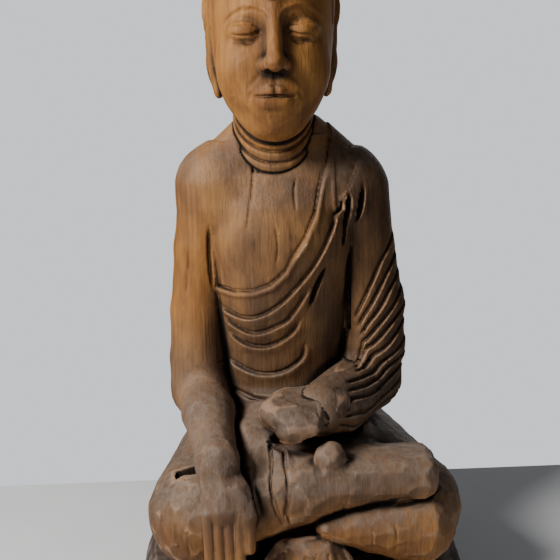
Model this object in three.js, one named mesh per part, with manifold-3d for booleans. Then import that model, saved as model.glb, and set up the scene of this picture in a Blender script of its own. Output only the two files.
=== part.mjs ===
// A seated wooden Buddha in the earth-touching pose, built the joined-block way: a head with a neck
// tenon, a hollowed torso in two halves, arm, hand, hip and lap blocks, all pegged and stapled together
// and set on a low plinth. Millimetres, +Z up, +X to the viewer's right, the figure faces -Y.
// The origin is the centre of the plinth's underside.
import * as THREE from "three";
import { mergeVertices } from "three/addons/utils/BufferGeometryUtils.js";
import Module from "manifold-3d";

const wasm = await Module();
wasm.setup();

// ---------- driving dimensions ----------
const GAP = 0.3; // clearance between touching blocks
const OVERALL_HEIGHT = 400;
const PLINTH = { halfWidth: 98, halfDepth: 80, height: 24, topShare: 0.93, squareness: 2.8 };
const SEAT = PLINTH.height; // underside of the figure
const TORSO = { x: -8, y: 21, depthShare: 0.8, halfBlock: 39.5 }; // axis, flattening, shoulder seams
const LAP_SEAM_Y = -19; // coronal seam between the lap block and the torso
const ELBOW_SEAM_Z = 132; // horizontal seams across both upper arms
const NECK = { x: -11, y: 18, radius: 22.5, tenonBottom: 222, top: 292 };
const HOLLOW = { halfWidth: 18, front: 9, back: 35, top: 188 };
const BOARD = { halfWidth: 25, front: 1, back: 43, thickness: 4 };
const DOWEL = { radius: 3, length: 24 };
const PEG = { radius: 1.2, length: 9 };
const STAPLE = { span: 19, width: 3, thickness: 2, leg: 8 };
const FAR = 400; // reaches past the whole object

// joint centres of the figure
const point = (x, y, z) => new THREE.Vector3(x, y, z);
const CROWN = OVERALL_HEIGHT - 18; // top of the skull, under the ushnisha
const SHOULDER_R = point(-46, 21, 226);
const SHOULDER_L = point(31, 21, 226);
const ELBOW_R = point(-58, 11, 117);
const ELBOW_L = point(46, 11, 118);
const WRIST_R = point(-47, -58, 98);
const CUFF_L = point(12, -35, 119);
const HIP_R = point(-40, 25, 58);
const HIP_L = point(34, 25, 58);
const KNEE_R = point(-57, -33, 56);
const KNEE_L = point(59, -31, 55);
const ANKLE_R = point(8, -45, 79);
const TOES_R = point(54, -43, 77);
const ANKLE_L = point(-12, -53, 42);

// ---------- solids from three.js geometry ----------
// A closed geometry as a manifold solid.
function solid(geometry) {
  const bare = geometry.clone();
  for (const name of ["normal", "uv"]) bare.deleteAttribute(name);
  const merged = mergeVertices(bare, 1e-4);
  return new wasm.Manifold(
    new wasm.Mesh({
      numProp: 3,
      vertProperties: merged.attributes.position.array,
      triVerts: new Uint32Array(merged.index.array),
    }),
  );
}

const join = (solids) => solids.reduce((whole, next) => whole.add(next));
const cut = (body, cutters) => cutters.reduce((rest, cutter) => rest.subtract(cutter), body);

// A manifold solid as a three.js geometry.
function geometryOf(made) {
  const { vertProperties, triVerts, numProp, numVert } = made.getMesh();
  const positions = new Float32Array(numVert * 3);
  for (let i = 0; i < numVert; i++)
    positions.set(vertProperties.subarray(i * numProp, i * numProp + 3), i * 3);
  return new THREE.BufferGeometry()
    .setAttribute("position", new THREE.BufferAttribute(positions, 3))
    .setIndex(new THREE.BufferAttribute(new Uint32Array(triVerts), 1));
}

function box(low, high) {
  const size = high.clone().sub(low);
  const middle = low.clone().add(high).multiplyScalar(0.5);
  return solid(new THREE.BoxGeometry(size.x, size.y, size.z).translate(...middle.toArray()));
}

function ellipsoid(centre, rx, ry, rz, around = 20) {
  const ball = new THREE.SphereGeometry(1, around, Math.round(around * 0.6));
  return solid(ball.rotateX(Math.PI / 2).scale(rx, ry, rz).translate(...centre.toArray()));
}

// A cylinder of that radius from one point to the other.
function rod(from, to, radius, around = 12) {
  const along = to.clone().sub(from);
  const middle = from.clone().add(to).multiplyScalar(0.5);
  const turn = new THREE.Quaternion().setFromUnitVectors(point(0, 1, 0), along.clone().normalize());
  const bar = new THREE.CylinderGeometry(radius, radius, along.length(), around);
  return solid(bar.applyQuaternion(turn).translate(...middle.toArray()));
}

// A tapered limb with round ends, flattened across `thin` (a unit vector) to `share` of its width.
function limb(from, to, r1, r2, { thin = null, share = 1, around = 16 } = {}) {
  const along = to.clone().sub(from);
  const steps = 4;
  const profile = [];
  for (let i = 0; i <= steps; i++) {
    const a = -Math.PI / 2 + (i / steps) * (Math.PI / 2);
    profile.push(new THREE.Vector2(i ? r1 * Math.cos(a) : 0, r1 * Math.sin(a)));
  }
  for (let i = 0; i <= steps; i++) {
    const a = (i / steps) * (Math.PI / 2);
    profile.push(new THREE.Vector2(i < steps ? r2 * Math.cos(a) : 0, along.length() + r2 * Math.sin(a)));
  }
  const up = along.normalize();
  const depth = (thin ?? (Math.abs(up.z) < 0.9 ? point(0, 0, 1) : point(0, 1, 0))).clone();
  depth.addScaledVector(up, -depth.dot(up)).normalize();
  const side = new THREE.Vector3().crossVectors(up, depth);
  const frame = new THREE.Matrix4().makeBasis(side, up, depth).setPosition(from);
  return solid(new THREE.LatheGeometry(profile, around).scale(1, 1, share).applyMatrix4(frame));
}

// A turned solid on a vertical axis at (x, y), flattened in depth. Its profile is [radius, height] pairs.
function turned(profile, x, y, depthShare, around = 32, squareness = 2) {
  const points = profile.map(([r, z]) => new THREE.Vector2(r, z));
  const turnedShape = new THREE.LatheGeometry(points, around);
  const place = turnedShape.attributes.position;
  for (let i = 0; i < place.count; i++) {
    const angle = Math.atan2(place.getZ(i), place.getX(i));
    const lobe = Math.abs(Math.cos(angle)) ** squareness + Math.abs(Math.sin(angle)) ** squareness;
    const stretch = lobe ** (-1 / squareness);
    place.setX(i, place.getX(i) * stretch);
    place.setZ(i, place.getZ(i) * stretch);
  }
  return solid(turnedShape.rotateX(Math.PI / 2).scale(1, depthShare, 1).translate(x, y, 0));
}

// ---------- the figure's forms; grow swells a form to cut room for it in a neighbour ----------
function torsoForm() {
  const profile = [
    [0, SEAT],
    [43, SEAT],
    [43, 70],
    [38, 100],
    [35, 122],
    [38, 150],
    [42, 182],
    [44, 208],
    [41, 226],
    [33, 242],
    [26, 254],
    [0, 256],
  ];
  const trunk = turned(profile, TORSO.x, TORSO.y, TORSO.depthShare, 28, 2.2);
  const neckRoot = (shoulder, side) =>
    limb(point(TORSO.x + side * 15, 25, 250), shoulder, 18, 23, { around: 16 });
  return join([trunk, neckRoot(SHOULDER_R, -1), neckRoot(SHOULDER_L, 1)]);
}

function upperArmForm(shoulder, middle, elbow, radii) {
  const [top, waist, end] = radii;
  return join([limb(shoulder, middle, top, waist), limb(middle, elbow, waist, end)]);
}
const rightUpperArmForm = () =>
  upperArmForm(SHOULDER_R, point(-59.5, 16, 168), ELBOW_R, [24.5, 14, 16.5]);
const leftUpperArmForm = () =>
  upperArmForm(SHOULDER_L, point(45.5, 16, 170), ELBOW_L, [22.5, 18, 19.5]);

function rightForearmForm(grow = 0) {
  return join([
    limb(ELBOW_R, WRIST_R, 16 + grow, 11 + grow),
    limb(ELBOW_R, point(ELBOW_R.x, ELBOW_R.y, ELBOW_SEAM_Z + 12), 16.5 + grow, 16 + grow),
  ]);
}

function leftForearmForm(grow = 0) {
  return join([
    limb(ELBOW_L, CUFF_L, 19 + grow, 13 + grow, { around: 20 }),
    limb(ELBOW_L, point(ELBOW_L.x, ELBOW_L.y, ELBOW_SEAM_Z + 12), 19.5 + grow, 19 + grow),
  ]);
}

// The pendent hand: back of the hand, four fingers side by side and a free thumb.
function rightHandForm(grow = 0) {
  const facing = { thin: point(0, 1, 0), share: 0.5 };
  const knuckles = point(-46.5, -70, 78);
  const fingers = [0, 1, 2, 3].map((i) => {
    const x = knuckles.x - 9 + i * 6;
    const tip = 33 + Math.abs(i - 1.6) * 3.5;
    return limb(point(x, -73, 76), point(x, -75.5, tip), 3.8 + grow, 3.2 + grow, { around: 10 });
  });
  const thumb = limb(point(-36, -68, 80), point(-32, -73.5, 58), 4.6 + grow, 3.4 + grow, { around: 10 });
  return join([limb(WRIST_R, knuckles, 11.5 + grow, 13.5 + grow, facing), ...fingers, thumb]);
}

// The open hand in the lap, palm up.
function leftHandForm(grow = 0) {
  const flat = { thin: point(0, 0, 1), share: 0.62, around: 18 };
  const palm = limb(point(4, -39, 115), point(-14, -42, 112), 14 + grow, 12.5 + grow, flat);
  const thumb = limb(point(-2, -49, 118), point(-19, -49, 116), 4.5 + grow, 4 + grow, { around: 10 });
  return join([palm, thumb]);
}

function legsForm() {
  const thighs = [
    limb(HIP_R, KNEE_R, 36, 31, { around: 20 }),
    limb(HIP_L, KNEE_L, 36, 30, { around: 20 }),
  ];
  const rightShin = limb(point(KNEE_R.x, -39, 60), ANKLE_R, 25, 19, { around: 18 });
  const rightFoot = limb(ANKLE_R, TOES_R, 20, 16, { thin: point(0, 0, 1), share: 0.95 });
  const leftShin = limb(point(KNEE_L.x, -39, 50), ANKLE_L, 25, 17, { around: 18 });
  const lapFill = ellipsoid(point(-4, -17, 80), 50, 42, 36, 20);
  const robeFan = turned([[0, SEAT], [34, SEAT], [32, 44], [22, 52], [0, 54]], 0, -47, 0.75, 20);
  const heel = ellipsoid(point(20, -47, 91), 8, 8, 11, 10);
  return join([...thighs, rightShin, rightFoot, leftShin, lapFill, robeFan, heel]);
}

function headForm() {
  const cx = NECK.x;
  const skull = ellipsoid(point(cx, 15, 332), 36.5, 43, CROWN - 332, 22);
  const face = ellipsoid(point(cx, 1, 303), 31.5, 31, 41, 20);
  const knot = ellipsoid(point(cx, 21, CROWN - 4), 18, 18, OVERALL_HEIGHT - CROWN + 4, 16);
  const nose = limb(point(cx, -25, 325), point(cx, -31, 304), 3, 6, { around: 10 });
  const chin = ellipsoid(point(cx, -14, 273), 14, 12, 11, 12);
  const ears = [-1, 1].map((side) => ellipsoid(point(cx + side * 36, 19, 309), 4.5, 10, 27, 12));
  return join([skull, face, knot, nose, chin, ...ears]);
}

const neckForm = (grow = 0) =>
  rod(
    point(NECK.x, NECK.y, NECK.tenonBottom - grow),
    point(NECK.x, NECK.y, NECK.top),
    NECK.radius + grow,
    24,
  );

function plinthForm() {
  const { halfWidth, halfDepth, height, topShare, squareness } = PLINTH;
  const profile = [
    [0, 0],
    [halfWidth * 0.985, 0],
    [halfWidth, 3],
    [halfWidth * 0.985, 9],
    [halfWidth * topShare, height - 2],
    [halfWidth * (topShare - 0.02), height - GAP],
    [0, height - GAP],
  ];
  return turned(profile, 0, 0, halfDepth / halfWidth, 40, squareness);
}

// ---------- regions that the seams divide the figure into ----------
const HALF = GAP / 2;
const SEAM_R = TORSO.x - TORSO.halfBlock;
const SEAM_L = TORSO.x + TORSO.halfBlock;
const region = (x0, x1, y0, y1, z0, z1) => box(point(x0, y0, z0), point(x1, y1, z1));
const trunkFront = () =>
  region(SEAM_R + HALF, SEAM_L - HALF, LAP_SEAM_Y + HALF, TORSO.y - HALF, SEAT, FAR);
const trunkBack = () => region(SEAM_R + HALF, SEAM_L - HALF, TORSO.y + HALF, FAR, SEAT, FAR);
const lapRegion = () => region(-FAR, FAR, -FAR, LAP_SEAM_Y - HALF, SEAT, FAR);
const rightOfTrunk = (z0, z1) => region(-FAR, SEAM_R - HALF, -FAR, FAR, z0, z1);
const leftOfTrunk = (z0, z1) => region(SEAM_L + HALF, FAR, -FAR, FAR, z0, z1);
const hipBand = (side) => side.intersect(region(-FAR, FAR, LAP_SEAM_Y + HALF, FAR, SEAT, FAR));

// ---------- fasteners ----------
const AXES = { x: point(1, 0, 0), y: point(0, 1, 0), z: point(0, 0, 1) };

// A dowel through `centre` along an axis, and the slightly wider, longer hole it sits in.
function dowel(centre, axis, length = DOWEL.length, radius = DOWEL.radius) {
  const half = AXES[axis].clone().multiplyScalar(length / 2);
  const longer = AXES[axis].clone().multiplyScalar(length / 2 + GAP);
  return {
    pin: rod(centre.clone().sub(half), centre.clone().add(half), radius),
    hole: rod(centre.clone().sub(longer), centre.clone().add(longer), radius + GAP),
  };
}

const dowels = {
  right_shoulder_dowel_front: dowel(point(SEAM_R, TORSO.y - 8, 219), "x"),
  right_shoulder_dowel_back: dowel(point(SEAM_R, TORSO.y + 8, 219), "x"),
  left_shoulder_dowel_front: dowel(point(SEAM_L, TORSO.y - 8, 219), "x"),
  left_shoulder_dowel_back: dowel(point(SEAM_L, TORSO.y + 8, 219), "x"),
  right_elbow_dowel: dowel(point(ELBOW_R.x, ELBOW_R.y + 1, ELBOW_SEAM_Z), "z"),
  left_elbow_dowel: dowel(point(ELBOW_L.x, ELBOW_L.y + 1, ELBOW_SEAM_Z), "z"),
  torso_dowel_upper_right: dowel(point(TORSO.x - 28, TORSO.y, 176), "y"),
  torso_dowel_upper_left: dowel(point(TORSO.x + 28, TORSO.y, 176), "y"),
  torso_dowel_lower_right: dowel(point(TORSO.x - 28, TORSO.y, 62), "y"),
  torso_dowel_lower_left: dowel(point(TORSO.x + 28, TORSO.y, 62), "y"),
  lap_dowel_right: dowel(point(TORSO.x - 22, LAP_SEAM_Y, 56), "y"),
  lap_dowel_left: dowel(point(TORSO.x + 22, LAP_SEAM_Y, 56), "y"),
  right_thigh_dowel: dowel(point(-66, LAP_SEAM_Y, 52), "y"),
  left_thigh_dowel: dowel(point(56, LAP_SEAM_Y, 52), "y"),
  right_hip_dowel: dowel(point(SEAM_R, 35, 50), "x"),
  left_hip_dowel: dowel(point(SEAM_L, 35, 50), "x"),
  plinth_dowel_right: dowel(point(-52, -37, SEAT), "z"),
  plinth_dowel_left: dowel(point(48, -37, SEAT), "z"),
};
const holes = Object.values(dowels).map((d) => d.hole);

// The peg that locks the neck tenon from behind; its head stays visible on the figure's back.
const NECK_PEG = { radius: 3.2, z: 232, inner: NECK.y + 8, outer: 48 };
function neckPeg(grow = 0) {
  const { radius, z, inner, outer } = NECK_PEG;
  return rod(point(NECK.x, inner - grow, z), point(NECK.x, outer + 10 * grow, z), radius + grow, 16);
}

// An iron staple let in flush with the seat, across a seam, with two driven legs.
function staple(centre, axis, grow = 0) {
  const { span, width, thickness, leg } = STAPLE;
  const low = grow ? SEAT - 1 : SEAT + GAP;
  const bar = (x0, x1, top) =>
    box(point(x0 - grow, -width / 2 - grow, low), point(x1 + grow, width / 2 + grow, top + grow));
  const made = join([
    bar(-span / 2, span / 2, SEAT + thickness),
    bar(-span / 2, -span / 2 + thickness, SEAT + thickness + leg),
    bar(span / 2 - thickness, span / 2, SEAT + thickness + leg),
  ]);
  return made.rotate([0, 0, axis === "y" ? 90 : 0]).translate([centre.x, centre.y, 0]);
}
const staples = {
  seat_staple_front_right: [point(TORSO.x - 20, LAP_SEAM_Y, 0), "y"],
  seat_staple_front_left: [point(TORSO.x + 20, LAP_SEAM_Y, 0), "y"],
  seat_staple_hip_right: [point(SEAM_R, 27, 0), "x"],
  seat_staple_hip_left: [point(SEAM_L, 27, 0), "x"],
};
const stapleSeats = Object.values(staples).map(([centre, axis]) => staple(centre, axis, GAP));

// ---------- the hollow and its board ----------
const hollow = region(
  TORSO.x - HOLLOW.halfWidth,
  TORSO.x + HOLLOW.halfWidth,
  HOLLOW.front,
  HOLLOW.back,
  SEAT - 1,
  HOLLOW.top,
);
function boardForm(grow = 0) {
  const { halfWidth, front, back, thickness } = BOARD;
  const low = point(TORSO.x - halfWidth - grow, front - grow, SEAT + (grow ? -1 : GAP));
  return box(low, point(TORSO.x + halfWidth + grow, back + grow, SEAT + thickness + grow));
}
const boardPegs = {};
for (const [fore, y] of [["front", BOARD.front + 4], ["back", BOARD.back - 4]])
  for (const [hand, side] of [["right", -1], ["left", 1]]) {
    const x = TORSO.x + side * (BOARD.halfWidth - 3);
    boardPegs[`board_peg_${fore}_${hand}`] = (grow) =>
      rod(point(x, y, SEAT + 0.8 - 3 * grow), point(x, y, SEAT + PEG.length + grow), PEG.radius + grow);
  }
const pegHoles = Object.values(boardPegs).map((peg) => peg(GAP));

// ---------- blocks ----------
const torsoRoom = [
  neckForm(GAP),
  hollow,
  boardForm(GAP),
  neckPeg(GAP),
  rightForearmForm(GAP),
  leftForearmForm(GAP),
  leftHandForm(GAP),
  ...holes,
  ...stapleSeats,
  ...pegHoles,
];
const trunk = torsoForm().add(legsForm());
const handRoom = [rightForearmForm(GAP), rightHandForm(GAP), leftForearmForm(GAP), leftHandForm(GAP)];
const oldMortise = region(-71, -57.5, -43, -38, 70, 120); // a lost patch in the right thigh
const legs = cut(legsForm(), [...handRoom, ...holes, ...stapleSeats]);

// The largest connected body of a solid, without the slivers that a cut leaves.
const largest = (made) => made.decompose().sort((a, b) => b.volume() - a.volume())[0];

const wristTenon = (grow) =>
  rod(WRIST_R.clone().lerp(ELBOW_R, 0.3), WRIST_R.clone().lerp(ELBOW_R, -0.08), 4 + grow, 16);
const cuffTenon = (grow) =>
  rod(CUFF_L.clone().lerp(ELBOW_L, 0.34), CUFF_L.clone().lerp(ELBOW_L, -0.2), 5 + grow, 16);

const WOOD_HEAD = { color: 0xb27a3e, roughness: 0.55, metalness: 0 };
const WOOD_BODY = { color: 0x8a5f3b, roughness: 0.65, metalness: 0 };
const WOOD_DARK = { color: 0x3b2a1e, roughness: 0.75, metalness: 0 };
const WOOD_PEG = { color: 0xc09a66, roughness: 0.7, metalness: 0 };
const IRON = { color: 0x3a3431, roughness: 0.7, metalness: 0.8 };

const statue = new THREE.Group();
function add(name, made, look) {
  const mesh = new THREE.Mesh(geometryOf(largest(made)), new THREE.MeshStandardMaterial(look));
  mesh.name = name;
  statue.add(mesh);
}

const rightArm = rightUpperArmForm().intersect(rightOfTrunk(ELBOW_SEAM_Z + HALF, FAR));
const leftArm = leftUpperArmForm().intersect(leftOfTrunk(ELBOW_SEAM_Z + HALF, FAR));
const belowElbow = region(-FAR, FAR, -FAR, FAR, 0, ELBOW_SEAM_Z - HALF);
const elbowSide = region(-FAR, FAR, WRIST_R.y + HALF, FAR, 0, FAR);
const handSide = region(-FAR, FAR, -FAR, WRIST_R.y - HALF, 0, FAR);
const rightForearm = rightForearmForm().intersect(belowElbow).intersect(elbowSide);
const leftForearm = leftForearmForm().intersect(belowElbow);

add("plinth", cut(plinthForm(), holes), WOOD_DARK);
add("lap_block", cut(legs.intersect(lapRegion()), [oldMortise]), WOOD_BODY);
add("right_hip_block", legs.intersect(hipBand(rightOfTrunk(SEAT, FAR))), WOOD_BODY);
add("left_hip_block", legs.intersect(hipBand(leftOfTrunk(SEAT, FAR))), WOOD_BODY);
add("torso_front", cut(trunk.intersect(trunkFront()), torsoRoom), WOOD_BODY);
add("torso_back", cut(trunk.intersect(trunkBack()), torsoRoom), WOOD_BODY);
add("right_upper_arm", cut(rightArm, holes), WOOD_BODY);
add("left_upper_arm", cut(leftArm, holes), WOOD_BODY);
add("right_forearm", cut(rightForearm, [...holes, wristTenon(GAP)]), WOOD_BODY);
add("right_hand", rightHandForm().intersect(handSide).add(wristTenon(0)), WOOD_BODY);
add("left_forearm", cut(leftForearm, [...holes, cuffTenon(GAP), leftHandForm(GAP)]), WOOD_BODY);
add("left_hand", leftHandForm().add(cuffTenon(0)), WOOD_BODY);
add("head", cut(headForm().add(neckForm()), [neckPeg(GAP)]), WOOD_HEAD);
add("bottom_board", cut(boardForm(), pegHoles), WOOD_PEG);
add("neck_peg", neckPeg(), WOOD_PEG);
for (const [name, { pin }] of Object.entries(dowels)) add(name, pin, WOOD_PEG);
for (const [name, peg] of Object.entries(boardPegs)) add(name, peg(0), WOOD_PEG);
for (const [name, [centre, axis]] of Object.entries(staples)) add(name, staple(centre, axis), IRON);

export default statue;
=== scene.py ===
"""A carved wooden seated Buddha in the earth-touching pose: the visible wood of every block, hair, and setting.

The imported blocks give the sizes. Each block's surface is modelled here as a solid on a fine grid of
distances (millimetres, negative inside), carved along lines laid on the surface, and then meshed.
"""
import math

import bmesh
import bpy
import numpy as np
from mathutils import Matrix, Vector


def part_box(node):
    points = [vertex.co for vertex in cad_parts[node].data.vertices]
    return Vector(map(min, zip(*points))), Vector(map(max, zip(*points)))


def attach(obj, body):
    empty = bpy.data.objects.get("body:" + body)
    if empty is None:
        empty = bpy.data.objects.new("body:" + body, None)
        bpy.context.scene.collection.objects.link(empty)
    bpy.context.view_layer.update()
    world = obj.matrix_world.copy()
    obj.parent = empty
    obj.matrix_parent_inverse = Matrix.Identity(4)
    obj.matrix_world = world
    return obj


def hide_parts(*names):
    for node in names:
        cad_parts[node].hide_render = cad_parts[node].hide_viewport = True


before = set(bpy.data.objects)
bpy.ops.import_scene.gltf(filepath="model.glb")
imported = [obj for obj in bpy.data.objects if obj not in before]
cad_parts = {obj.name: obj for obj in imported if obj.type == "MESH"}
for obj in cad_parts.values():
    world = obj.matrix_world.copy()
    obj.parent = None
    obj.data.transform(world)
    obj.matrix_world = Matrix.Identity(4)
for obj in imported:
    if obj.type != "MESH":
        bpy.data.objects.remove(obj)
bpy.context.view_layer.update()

import openvdb
from mathutils import Matrix, Vector
from mathutils.kdtree import KDTree

MM = 0.001
BODY_CELL = 0.8
HEAD_CELL = 0.6
FAR = 60.0  # "no wood near here"


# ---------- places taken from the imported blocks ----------
def corners(node):
    low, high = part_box(node)
    return np.array(low) / MM, np.array(high) / MM


def centre(*nodes):
    return np.mean([np.mean(corners(node), axis=0) for node in nodes], axis=0)


FRONT_LOW, FRONT_HIGH = corners("torso_front")
SEAM_RIGHT, SEAM_LEFT = FRONT_LOW[0], FRONT_HIGH[0]
SEAM_LAP = FRONT_LOW[1]
SEAM_BACK = FRONT_HIGH[1]
SEAT = corners("lap_block")[0][2]
ELBOW_SEAM = corners("right_upper_arm")[0][2]
WRIST_SEAM = corners("right_forearm")[0][1]
PLINTH_LOW, PLINTH_HIGH = corners("plinth")
CROWN_TOP = corners("head")[1][2]
TENON_BOTTOM = corners("head")[0][2]
TRUNK_X = (SEAM_RIGHT + SEAM_LEFT) / 2
TRUNK_Y = SEAM_BACK
NECK = np.array([corners("neck_peg")[0][0] + 3.2, 18.0, 240.0])
NECK_RADIUS = 22.5

SHOULDER_R = centre("right_shoulder_dowel_front", "right_shoulder_dowel_back") + (1.5, 0, 7)
SHOULDER_L = centre("left_shoulder_dowel_front", "left_shoulder_dowel_back") + (-0.5, 0, 7)
ELBOW_R = centre("right_elbow_dowel") + (0, -1, -15)
ELBOW_L = centre("left_elbow_dowel") + (0, -1, -14)
WRIST_R = ELBOW_R + (11, -69, -19)
CUFF_L = ELBOW_L + (-34, -46, 1)


# ---------- distances ----------
def ease(t):
    t = np.clip(t, 0.0, 1.0)
    return t * t * (3.0 - 2.0 * t)


def melt(a, b, k):
    """Union of two solids with a fillet about k millimetres wide."""
    k = np.maximum(k, 1e-3)
    h = np.maximum(k - np.abs(a - b), 0.0) / k
    return np.minimum(a, b) - h * h * k * 0.25


def limb(start, end, r1, r2, thin=None, share=1.0):
    """A tapered limb with round ends, flattened across `thin` to `share` of its width."""
    a, b = np.asarray(start, float), np.asarray(end, float)
    run = b - a
    square = run @ run

    def distance(x, y, z):
        px, py, pz = x - a[0], y - a[1], z - a[2]
        t = np.clip((px * run[0] + py * run[1] + pz * run[2]) / square, 0.0, 1.0)
        qx, qy, qz = px - t * run[0], py - t * run[1], pz - t * run[2]
        r = r1 + (r2 - r1) * t
        round_part = qx * qx + qy * qy + qz * qz
        if thin is None:
            return np.sqrt(round_part) - r
        h = (qx * thin[0] + qy * thin[1] + qz * thin[2]) ** 2
        k0 = np.sqrt(round_part - h + h / share**2) / r
        k1 = np.sqrt(round_part - h + h / share**4) / (r * r)
        return k0 * (k0 - 1.0) / np.maximum(k1, 1e-6)

    reach = max(r1, r2)
    return distance, np.minimum(a, b) - reach, np.maximum(a, b) + reach


def ellipsoid(middle, rx, ry, rz):
    c = np.asarray(middle, float)

    def distance(x, y, z):
        px, py, pz = (x - c[0]) / rx, (y - c[1]) / ry, (z - c[2]) / rz
        k0 = np.sqrt(px * px + py * py + pz * pz)
        k1 = np.sqrt((px / rx) ** 2 + (py / ry) ** 2 + (pz / rz) ** 2)
        return k0 * (k0 - 1.0) / np.maximum(k1, 1e-6)

    half = np.array([rx, ry, rz])
    return distance, c - half, c + half


def slab(low, high, rounding=0.0):
    c, half = (np.asarray(low, float) + high) / 2, (np.asarray(high, float) - low) / 2

    def distance(x, y, z):
        q = [np.abs(v - c[i]) - half[i] + rounding for i, v in enumerate((x, y, z))]
        outside = np.sqrt(sum(np.maximum(v, 0.0) ** 2 for v in q))
        return outside + np.minimum(np.maximum(np.maximum(q[0], q[1]), q[2]), 0.0) - rounding

    return distance, np.asarray(low, float), np.asarray(high, float)


def pillar(profile, x, y, share, squareness):
    """A turned form on a vertical axis, with a soft-cornered section and a profile of (radius, height)."""
    radii, heights = np.array(profile, float).T

    def distance(px, py, pz):
        r = np.interp(pz, heights, radii)
        r = r.astype(np.float32)
        slope = np.interp(pz, heights, np.gradient(radii, heights))
        u, v = np.abs(px - x), np.abs(py - y) / share
        rho = (u**squareness + v**squareness) ** (1.0 / squareness)
        side = (rho - r) * (0.9 / np.sqrt(1.0 + slope * slope))
        return np.maximum(side, np.maximum(heights[0] - pz, pz - heights[-1]))

    r = radii.max()
    return distance, np.array([x - r, y - r * share, heights[0]]), np.array([x + r, y + r * share, heights[-1]])


# ---------- the carver's block ----------
class Clay:
    """Distances to the surface of one solid, on a grid."""

    def __init__(self, low, high, cell):
        self.cell = cell
        self.first = np.floor(np.asarray(low, float) / cell).astype(int)
        last = np.ceil(np.asarray(high, float) / cell).astype(int)
        self.axes = [(np.arange(a, b + 1) * cell).astype(np.float32) for a, b in zip(self.first, last)]
        self.d = np.full([len(axis) for axis in self.axes], FAR, np.float32)

    def window(self, low, high):
        spans = []
        for axis, a, b in zip(self.axes, low, high):
            spans.append(slice(max(0, int(np.searchsorted(axis, a)) - 1), int(np.searchsorted(axis, b)) + 1))
        x, y, z = (axis[span] for axis, span in zip(self.axes, spans))
        return tuple(spans), x[:, None, None], y[None, :, None], z[None, None, :]

    def add(self, form, k=0.0):
        distance, low, high = form
        where, x, y, z = self.window(low - k - 4, high + k + 4)
        self.d[where] = melt(self.d[where], distance(x, y, z), k)

    def cut(self, form, gap=0.0, k=0.0):
        distance, low, high = form
        where, x, y, z = self.window(low - gap - k - 2, high + gap + k + 2)
        self.d[where] = -melt(-self.d[where], distance(x, y, z) - gap, k)

    def merge(self, other, k=0.0, keep=None, gap=None):
        """Joins another block of the same cell, or with `gap` cuts room for it."""
        offset = other.first - self.first
        start = np.maximum(offset, 0)
        stop = np.minimum(offset + other.d.shape, self.d.shape)
        mine = tuple(slice(a, b) for a, b in zip(start, stop))
        theirs = tuple(slice(a, b) for a, b in zip(start - offset, stop - offset))
        value = other.d[theirs]
        x, y, z = (axis[span] for axis, span in zip(self.axes, mine))
        if keep is not None:
            value = np.maximum(value, keep(z[None, None, :]))
        if gap is None:
            self.d[mine] = melt(self.d[mine], value, k(z[None, None, :]) if callable(k) else k)
        else:
            self.d[mine] = np.maximum(self.d[mine], gap - value)

    def sample(self, points):
        """The distance at any points, between grid cells."""
        p = points / self.cell - self.first
        last = np.array(self.d.shape) - 1.001
        outside = ((p < 0) | (p > last)).any(axis=1)
        p = np.clip(p, 0, last)
        i = p.astype(int)
        f = p - i
        total = np.zeros(len(points))
        for dx in (0, 1):
            for dy in (0, 1):
                for dz in (0, 1):
                    weight = (
                        (f[:, 0] if dx else 1 - f[:, 0])
                        * (f[:, 1] if dy else 1 - f[:, 1])
                        * (f[:, 2] if dz else 1 - f[:, 2])
                    )
                    total += weight * self.d[i[:, 0] + dx, i[:, 1] + dy, i[:, 2] + dz]
        total[outside] = FAR
        return total

    def slope(self, points):
        parts = []
        for axis in range(3):
            step = np.zeros(3)
            step[axis] = self.cell
            parts.append(self.sample(points + step) - self.sample(points - step))
        g = np.stack(parts, axis=1)
        return g / np.maximum(np.linalg.norm(g, axis=1, keepdims=True), 1e-6)


class Line:
    """A smooth line laid on a block's surface, with its direction, outward normal and side at each step."""

    def __init__(self, clay, marks, step=None, rounds=8):
        marks = np.asarray(marks, float)
        step = step or clay.cell
        ends = np.vstack([2 * marks[0] - marks[1], marks, 2 * marks[-1] - marks[-2]])
        dense = []
        for a, b, c, d in zip(ends, ends[1:], ends[2:], ends[3:]):
            t = np.linspace(0, 1, 24, endpoint=False)[:, None]
            bend, twist = 2 * a - 5 * b + 4 * c - d, 3 * b - a - 3 * c + d
            dense.append(0.5 * (2 * b + (c - a) * t + bend * t**2 + twist * t**3))
        dense = np.vstack(dense + [marks[-1:]])
        for _ in range(rounds):
            dense = dense - np.clip(clay.sample(dense), -3, 3)[:, None] * clay.slope(dense)
        run = np.concatenate([[0], np.cumsum(np.linalg.norm(np.diff(dense, axis=0), axis=1))])
        count = max(4, int(run[-1] / step))
        self.at = np.linspace(0, run[-1], count)
        self.points = np.stack([np.interp(self.at, run, dense[:, i]) for i in range(3)], axis=1)
        self.length = run[-1]
        self.normal = clay.slope(self.points)
        along = np.gradient(self.points, axis=0)
        self.along = along / np.maximum(np.linalg.norm(along, axis=1, keepdims=True), 1e-9)
        side = np.cross(self.along, self.normal)
        self.side = side / np.maximum(np.linalg.norm(side, axis=1, keepdims=True), 1e-9)


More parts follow.
